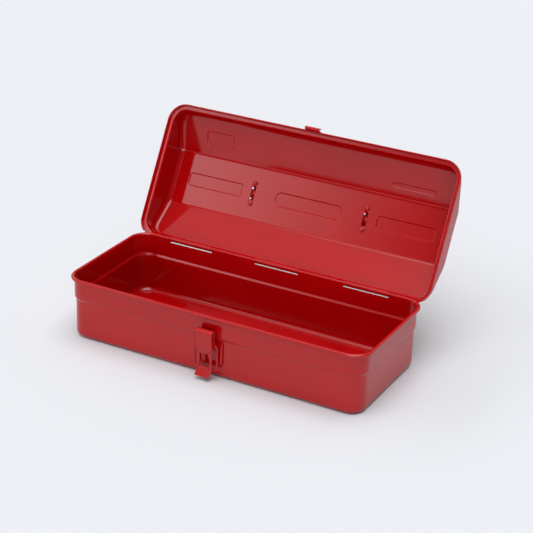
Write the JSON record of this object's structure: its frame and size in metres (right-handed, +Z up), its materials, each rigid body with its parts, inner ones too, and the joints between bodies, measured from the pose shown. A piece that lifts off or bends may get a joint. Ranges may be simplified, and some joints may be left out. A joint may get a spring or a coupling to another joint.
{
  "type": "toolbox",
  "caption": "Red enamelled steel toolbox, standing open: drawn pan with rolled rim, hinged camber lid, drop handle and over-centre wire latch.",
  "frame": {"origin": "centre of the pan's flat underside", "axes": "+X along the box's length to its right as seen from the latch, +Y to the hinged rear, +Z up"},
  "size_m": [0.359, 0.2476, 0.2064],
  "materials": {
    "pan_enamel": "high gloss baked enamel",
    "lid_enamel": "high gloss baked enamel",
    "red_enamel": "high gloss baked enamel",
    "wire_enamel": "gloss enamel on wire"
  },
  "bodies": {
    "body": {"body_pan": "pan_enamel", "latch_base": "red_enamel", "latch_lever_pin": "red_enamel"},
    "lid": {"lid_shell": "lid_enamel", "hinge_leaf_left": "red_enamel", "hinge_leaf_middle": "red_enamel", "hinge_leaf_right": "red_enamel", "handle_bracket_left": "red_enamel", "handle_bracket_right": "red_enamel", "latch_keeper": "red_enamel"},
    "handle": {"handle_bail": "red_enamel", "handle_pivot_left": "red_enamel", "handle_pivot_right": "red_enamel"},
    "lever": {"latch_lever": "red_enamel"},
    "bail": {"latch_bail": "wire_enamel"}
  },
  "joints": [
    {"name": "lid_hinge", "type": "hinge", "parent": "body", "child": "lid", "pos_m": [0, 0.07435, 0.0681], "axis": [1, 0, 0], "range_deg": [0, 119]},
    {"name": "handle_swing", "type": "hinge", "parent": "lid", "child": "handle", "pos_m": [0, 0.15028, 0.11102], "axis": [1, 0, 0], "range_deg": [-28, 150]},
    {"name": "latch_lever_pivot", "type": "hinge", "parent": "body", "child": "lever", "pos_m": [0, -0.07955, 0.0524], "axis": [-1, 0, 0], "range_deg": [0, 135]},
    {"name": "latch_bail_pivot", "type": "hinge", "parent": "lever", "child": "bail", "pos_m": [0, -0.07745, 0.0385], "axis": [-1, 0, 0], "range_deg": [-135, 0]}
  ],
  "couplings": [
    {"joint": "latch_bail_pivot", "follows": "latch_lever_pivot", "ratio": -1}
  ]
}
